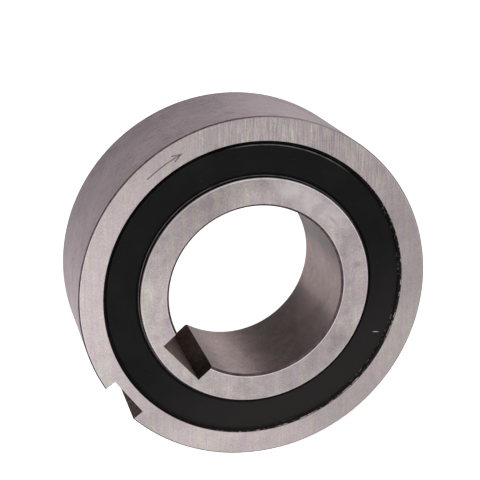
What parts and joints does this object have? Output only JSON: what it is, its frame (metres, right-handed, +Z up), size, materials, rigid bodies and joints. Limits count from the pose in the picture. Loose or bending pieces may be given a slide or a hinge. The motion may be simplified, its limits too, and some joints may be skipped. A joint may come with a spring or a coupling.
{
  "type": "sprag clutch bearing",
  "caption": "Sealed one-way sprag clutch with its own ball bearing and a keyway in each ring: the inner ring turns freely one way and locks to the outer ring the other way.",
  "frame": {"origin": "on the axis of rotation, half way across the width", "axes": "Y along the axis of rotation with the arrow face towards -Y; Z up, standing on the rim"},
  "size_m": [0.08, 0.027, 0.08],
  "materials": {
    "outer_ring_steel": "ground, fine grinding lines",
    "inner_ring_steel": "ground, faintly smudged",
    "seal_rubber": "matt moulded",
    "insert_steel": "cold-rolled sheet",
    "cage_steel": "pressed sheet, lightly oiled",
    "ball_cage_polyamide": "moulded, natural",
    "ball_steel": "lapped and polished",
    "sprag_steel": "tumbled and hardened",
    "spring_wire": "drawn wire"
  },
  "bodies": {
    "outer_ring_group": {"outer_ring": "outer_ring_steel", "front_seal": "seal_rubber", "front_seal_insert": "insert_steel", "back_seal": "seal_rubber", "back_seal_insert": "insert_steel", "sprag_cage": "cage_steel", "front_garter_spring": "spring_wire", "back_garter_spring": "spring_wire"},
    "inner_ring_body": {"inner_ring": "inner_ring_steel"},
    "ball_cage_body": {"ball_cage": "ball_cage_polyamide"},
    "ball_01_body": {"ball_01": "ball_steel"},
    "ball_02_body": {"ball_02": "ball_steel"},
    "ball_03_body": {"ball_03": "ball_steel"},
    "ball_04_body": {"ball_04": "ball_steel"},
    "ball_05_body": {"ball_05": "ball_steel"},
    "ball_06_body": {"ball_06": "ball_steel"},
    "ball_07_body": {"ball_07": "ball_steel"},
    "ball_08_body": {"ball_08": "ball_steel"},
    "ball_09_body": {"ball_09": "ball_steel"},
    "ball_10_body": {"ball_10": "ball_steel"},
    "ball_11_body": {"ball_11": "ball_steel"},
    "ball_12_body": {"ball_12": "ball_steel"},
    "ball_13_body": {"ball_13": "ball_steel"},
    "ball_14_body": {"ball_14": "ball_steel"},
    "sprag_01_body": {"sprag_01": "sprag_steel"},
    "sprag_02_body": {"sprag_02": "sprag_steel"},
    "sprag_03_body": {"sprag_03": "sprag_steel"},
    "sprag_04_body": {"sprag_04": "sprag_steel"},
    "sprag_05_body": {"sprag_05": "sprag_steel"},
    "sprag_06_body": {"sprag_06": "sprag_steel"},
    "sprag_07_body": {"sprag_07": "sprag_steel"},
    "sprag_08_body": {"sprag_08": "sprag_steel"},
    "sprag_09_body": {"sprag_09": "sprag_steel"},
    "sprag_10_body": {"sprag_10": "sprag_steel"},
    "sprag_11_body": {"sprag_11": "sprag_steel"},
    "sprag_12_body": {"sprag_12": "sprag_steel"},
    "sprag_13_body": {"sprag_13": "sprag_steel"},
    "sprag_14_body": {"sprag_14": "sprag_steel"},
    "sprag_15_body": {"sprag_15": "sprag_steel"},
    "sprag_16_body": {"sprag_16": "sprag_steel"},
    "sprag_17_body": {"sprag_17": "sprag_steel"},
    "sprag_18_body": {"sprag_18": "sprag_steel"},
    "sprag_19_body": {"sprag_19": "sprag_steel"},
    "sprag_20_body": {"sprag_20": "sprag_steel"},
    "sprag_21_body": {"sprag_21": "sprag_steel"},
    "sprag_22_body": {"sprag_22": "sprag_steel"}
  },
  "joints": [
    {"name": "inner_ring_spin", "type": "hinge", "parent": "outer_ring_group", "child": "inner_ring_body", "pos_m": [0, 0, 0], "axis": [0, -1, 0], "range_deg": [0, 3690]},
    {"name": "ball_cage_spin", "type": "hinge", "parent": "outer_ring_group", "child": "ball_cage_body", "pos_m": [0, 0.0049, 0], "axis": [0, -1, 0], "range_deg": [0, 1552]},
    {"name": "ball_01_spin", "type": "hinge", "parent": "ball_cage_body", "child": "ball_01_body", "pos_m": [0, 0.0049, 0.03045], "axis": [0, -1, 0], "range_deg": [-10615, 0]},
    {"name": "ball_02_spin", "type": "hinge", "parent": "ball_cage_body", "child": "ball_02_body", "pos_m": [0.01321, 0.0049, 0.02743], "axis": [0, -1, 0], "range_deg": [-10615, 0]},
    {"name": "ball_03_spin", "type": "hinge", "parent": "ball_cage_body", "child": "ball_03_body", "pos_m": [0.02381, 0.0049, 0.01899], "axis": [0, -1, 0], "range_deg": [-10615, 0]},
    {"name": "ball_04_spin", "type": "hinge", "parent": "ball_cage_body", "child": "ball_04_body", "pos_m": [0.02969, 0.0049, 0.00678], "axis": [0, -1, 0], "range_deg": [-10615, 0]},
    {"name": "ball_05_spin", "type": "hinge", "parent": "ball_cage_body", "child": "ball_05_body", "pos_m": [0.02969, 0.0049, -0.00678], "axis": [0, -1, 0], "range_deg": [-10615, 0]},
    {"name": "ball_06_spin", "type": "hinge", "parent": "ball_cage_body", "child": "ball_06_body", "pos_m": [0.02381, 0.0049, -0.01899], "axis": [0, -1, 0], "range_deg": [-10615, 0]},
    {"name": "ball_07_spin", "type": "hinge", "parent": "ball_cage_body", "child": "ball_07_body", "pos_m": [0.01321, 0.0049, -0.02743], "axis": [0, -1, 0], "range_deg": [-10615, 0]},
    {"name": "ball_08_spin", "type": "hinge", "parent": "ball_cage_body", "child": "ball_08_body", "pos_m": [0, 0.0049, -0.03045], "axis": [0, -1, 0], "range_deg": [-10615, 0]},
    {"name": "ball_09_spin", "type": "hinge", "parent": "ball_cage_body", "child": "ball_09_body", "pos_m": [-0.01321, 0.0049, -0.02743], "axis": [0, -1, 0], "range_deg": [-10615, 0]},
    {"name": "ball_10_spin", "type": "hinge", "parent": "ball_cage_body", "child": "ball_10_body", "pos_m": [-0.02381, 0.0049, -0.01899], "axis": [0, -1, 0], "range_deg": [-10615, 0]},
    {"name": "ball_11_spin", "type": "hinge", "parent": "ball_cage_body", "child": "ball_11_body", "pos_m": [-0.02969, 0.0049, -0.00678], "axis": [0, -1, 0], "range_deg": [-10615, 0]},
    {"name": "ball_12_spin", "type": "hinge", "parent": "ball_cage_body", "child": "ball_12_body", "pos_m": [-0.02969, 0.0049, 0.00678], "axis": [0, -1, 0], "range_deg": [-10615, 0]},
    {"name": "ball_13_spin", "type": "hinge", "parent": "ball_cage_body", "child": "ball_13_body", "pos_m": [-0.02381, 0.0049, 0.01899], "axis": [0, -1, 0], "range_deg": [-10615, 0]},
    {"name": "ball_14_spin", "type": "hinge", "parent": "ball_cage_body", "child": "ball_14_body", "pos_m": [-0.01321, 0.0049, 0.02743], "axis": [0, -1, 0], "range_deg": [-10615, 0]},
    {"name": "sprag_01_tilt", "type": "hinge", "parent": "outer_ring_group", "child": "sprag_01_body", "pos_m": [0, -0.00575, 0.03045], "axis": [0, 1, 0], "range_deg": [0, 8], "stiffness_Nm_per_rad": 0.0005},
    {"name": "sprag_02_tilt", "type": "hinge", "parent": "outer_ring_group", "child": "sprag_02_body", "pos_m": [0.00858, -0.00575, 0.02922], "axis": [0, 1, 0], "range_deg": [0, 8], "stiffness_Nm_per_rad": 0.0005},
    {"name": "sprag_03_tilt", "type": "hinge", "parent": "outer_ring_group", "child": "sprag_03_body", "pos_m": [0.01646, -0.00575, 0.02562], "axis": [0, 1, 0], "range_deg": [0, 8], "stiffness_Nm_per_rad": 0.0005},
    {"name": "sprag_04_tilt", "type": "hinge", "parent": "outer_ring_group", "child": "sprag_04_body", "pos_m": [0.02301, -0.00575, 0.01994], "axis": [0, 1, 0], "range_deg": [0, 8], "stiffness_Nm_per_rad": 0.0005},
    {"name": "sprag_05_tilt", "type": "hinge", "parent": "outer_ring_group", "child": "sprag_05_body", "pos_m": [0.0277, -0.00575, 0.01265], "axis": [0, 1, 0], "range_deg": [0, 8], "stiffness_Nm_per_rad": 0.0005},
    {"name": "sprag_06_tilt", "type": "hinge", "parent": "outer_ring_group", "child": "sprag_06_body", "pos_m": [0.03014, -0.00575, 0.00433], "axis": [0, 1, 0], "range_deg": [0, 8], "stiffness_Nm_per_rad": 0.0005},
    {"name": "sprag_07_tilt", "type": "hinge", "parent": "outer_ring_group", "child": "sprag_07_body", "pos_m": [0.03014, -0.00575, -0.00433], "axis": [0, 1, 0], "range_deg": [0, 8], "stiffness_Nm_per_rad": 0.0005},
    {"name": "sprag_08_tilt", "type": "hinge", "parent": "outer_ring_group", "child": "sprag_08_body", "pos_m": [0.0277, -0.00575, -0.01265], "axis": [0, 1, 0], "range_deg": [0, 8], "stiffness_Nm_per_rad": 0.0005},
    {"name": "sprag_09_tilt", "type": "hinge", "parent": "outer_ring_group", "child": "sprag_09_body", "pos_m": [0.02301, -0.00575, -0.01994], "axis": [0, 1, 0], "range_deg": [0, 8], "stiffness_Nm_per_rad": 0.0005},
    {"name": "sprag_10_tilt", "type": "hinge", "parent": "outer_ring_group", "child": "sprag_10_body", "pos_m": [0.01646, -0.00575, -0.02562], "axis": [0, 1, 0], "range_deg": [0, 8], "stiffness_Nm_per_rad": 0.0005},
    {"name": "sprag_11_tilt", "type": "hinge", "parent": "outer_ring_group", "child": "sprag_11_body", "pos_m": [0.00858, -0.00575, -0.02922], "axis": [0, 1, 0], "range_deg": [0, 8], "stiffness_Nm_per_rad": 0.0005},
    {"name": "sprag_12_tilt", "type": "hinge", "parent": "outer_ring_group", "child": "sprag_12_body", "pos_m": [0, -0.00575, -0.03045], "axis": [0, 1, 0], "range_deg": [0, 8], "stiffness_Nm_per_rad": 0.0005},
    {"name": "sprag_13_tilt", "type": "hinge", "parent": "outer_ring_group", "child": "sprag_13_body", "pos_m": [-0.00858, -0.00575, -0.02922], "axis": [0, 1, 0], "range_deg": [0, 8], "stiffness_Nm_per_rad": 0.0005},
    {"name": "sprag_14_tilt", "type": "hinge", "parent": "outer_ring_group", "child": "sprag_14_body", "pos_m": [-0.01646, -0.00575, -0.02562], "axis": [0, 1, 0], "range_deg": [0, 8], "stiffness_Nm_per_rad": 0.0005},
    {"name": "sprag_15_tilt", "type": "hinge", "parent": "outer_ring_group", "child": "sprag_15_body", "pos_m": [-0.02301, -0.00575, -0.01994], "axis": [0, 1, 0], "range_deg": [0, 8], "stiffness_Nm_per_rad": 0.0005},
    {"name": "sprag_16_tilt", "type": "hinge", "parent": "outer_ring_group", "child": "sprag_16_body", "pos_m": [-0.0277, -0.00575, -0.01265], "axis": [0, 1, 0], "range_deg": [0, 8], "stiffness_Nm_per_rad": 0.0005},
    {"name": "sprag_17_tilt", "type": "hinge", "parent": "outer_ring_group", "child": "sprag_17_body", "pos_m": [-0.03014, -0.00575, -0.00433], "axis": [0, 1, 0], "range_deg": [0, 8], "stiffness_Nm_per_rad": 0.0005},
    {"name": "sprag_18_tilt", "type": "hinge", "parent": "outer_ring_group", "child": "sprag_18_body", "pos_m": [-0.03014, -0.00575, 0.00433], "axis": [0, 1, 0], "range_deg": [0, 8], "stiffness_Nm_per_rad": 0.0005},
    {"name": "sprag_19_tilt", "type": "hinge", "parent": "outer_ring_group", "child": "sprag_19_body", "pos_m": [-0.0277, -0.00575, 0.01265], "axis": [0, 1, 0], "range_deg": [0, 8], "stiffness_Nm_per_rad": 0.0005},
    {"name": "sprag_20_tilt", "type": "hinge", "parent": "outer_ring_group", "child": "sprag_20_body", "pos_m": [-0.02301, -0.00575, 0.01994], "axis": [0, 1, 0], "range_deg": [0, 8], "stiffness_Nm_per_rad": 0.0005},
    {"name": "sprag_21_tilt", "type": "hinge", "parent": "outer_ring_group", "child": "sprag_21_body", "pos_m": [-0.01646, -0.00575, 0.02562], "axis": [0, 1, 0], "range_deg": [0, 8], "stiffness_Nm_per_rad": 0.0005},
    {"name": "sprag_22_tilt", "type": "hinge", "parent": "outer_ring_group", "child": "sprag_22_body", "pos_m": [-0.00858, -0.00575, 0.02922], "axis": [0, 1, 0], "range_deg": [0, 8], "stiffness_Nm_per_rad": 0.0005}
  ],
  "couplings": [
    {"joint": "ball_cage_spin", "follows": "inner_ring_spin", "ratio": 0.41527},
    {"joint": "ball_01_spin", "follows": "inner_ring_spin", "ratio": -2.8659},
    {"joint": "ball_02_spin", "follows": "inner_ring_spin", "ratio": -2.8659},
    {"joint": "ball_03_spin", "follows": "inner_ring_spin", "ratio": -2.8659},
    {"joint": "ball_04_spin", "follows": "inner_ring_spin", "ratio": -2.8659},
    {"joint": "ball_05_spin", "follows": "inner_ring_spin", "ratio": -2.8659},
    {"joint": "ball_06_spin", "follows": "inner_ring_spin", "ratio": -2.8659},
    {"joint": "ball_07_spin", "follows": "inner_ring_spin", "ratio": -2.8659},
    {"joint": "ball_08_spin", "follows": "inner_ring_spin", "ratio": -2.8659},
    {"joint": "ball_09_spin", "follows": "inner_ring_spin", "ratio": -2.8659},
    {"joint": "ball_10_spin", "follows": "inner_ring_spin", "ratio": -2.8659},
    {"joint": "ball_11_spin", "follows": "inner_ring_spin", "ratio": -2.8659},
    {"joint": "ball_12_spin", "follows": "inner_ring_spin", "ratio": -2.8659},
    {"joint": "ball_13_spin", "follows": "inner_ring_spin", "ratio": -2.8659},
    {"joint": "ball_14_spin", "follows": "inner_ring_spin", "ratio": -2.8659},
    {"joint": "sprag_02_tilt", "follows": "sprag_01_tilt", "ratio": 1},
    {"joint": "sprag_03_tilt", "follows": "sprag_01_tilt", "ratio": 1},
    {"joint": "sprag_04_tilt", "follows": "sprag_01_tilt", "ratio": 1},
    {"joint": "sprag_05_tilt", "follows": "sprag_01_tilt", "ratio": 1},
    {"joint": "sprag_06_tilt", "follows": "sprag_01_tilt", "ratio": 1},
    {"joint": "sprag_07_tilt", "follows": "sprag_01_tilt", "ratio": 1},
    {"joint": "sprag_08_tilt", "follows": "sprag_01_tilt", "ratio": 1},
    {"joint": "sprag_09_tilt", "follows": "sprag_01_tilt", "ratio": 1},
    {"joint": "sprag_10_tilt", "follows": "sprag_01_tilt", "ratio": 1},
    {"joint": "sprag_11_tilt", "follows": "sprag_01_tilt", "ratio": 1},
    {"joint": "sprag_12_tilt", "follows": "sprag_01_tilt", "ratio": 1},
    {"joint": "sprag_13_tilt", "follows": "sprag_01_tilt", "ratio": 1},
    {"joint": "sprag_14_tilt", "follows": "sprag_01_tilt", "ratio": 1},
    {"joint": "sprag_15_tilt", "follows": "sprag_01_tilt", "ratio": 1},
    {"joint": "sprag_16_tilt", "follows": "sprag_01_tilt", "ratio": 1},
    {"joint": "sprag_17_tilt", "follows": "sprag_01_tilt", "ratio": 1},
    {"joint": "sprag_18_tilt", "follows": "sprag_01_tilt", "ratio": 1},
    {"joint": "sprag_19_tilt", "follows": "sprag_01_tilt", "ratio": 1},
    {"joint": "sprag_20_tilt", "follows": "sprag_01_tilt", "ratio": 1},
    {"joint": "sprag_21_tilt", "follows": "sprag_01_tilt", "ratio": 1},
    {"joint": "sprag_22_tilt", "follows": "sprag_01_tilt", "ratio": 1}
  ]
}
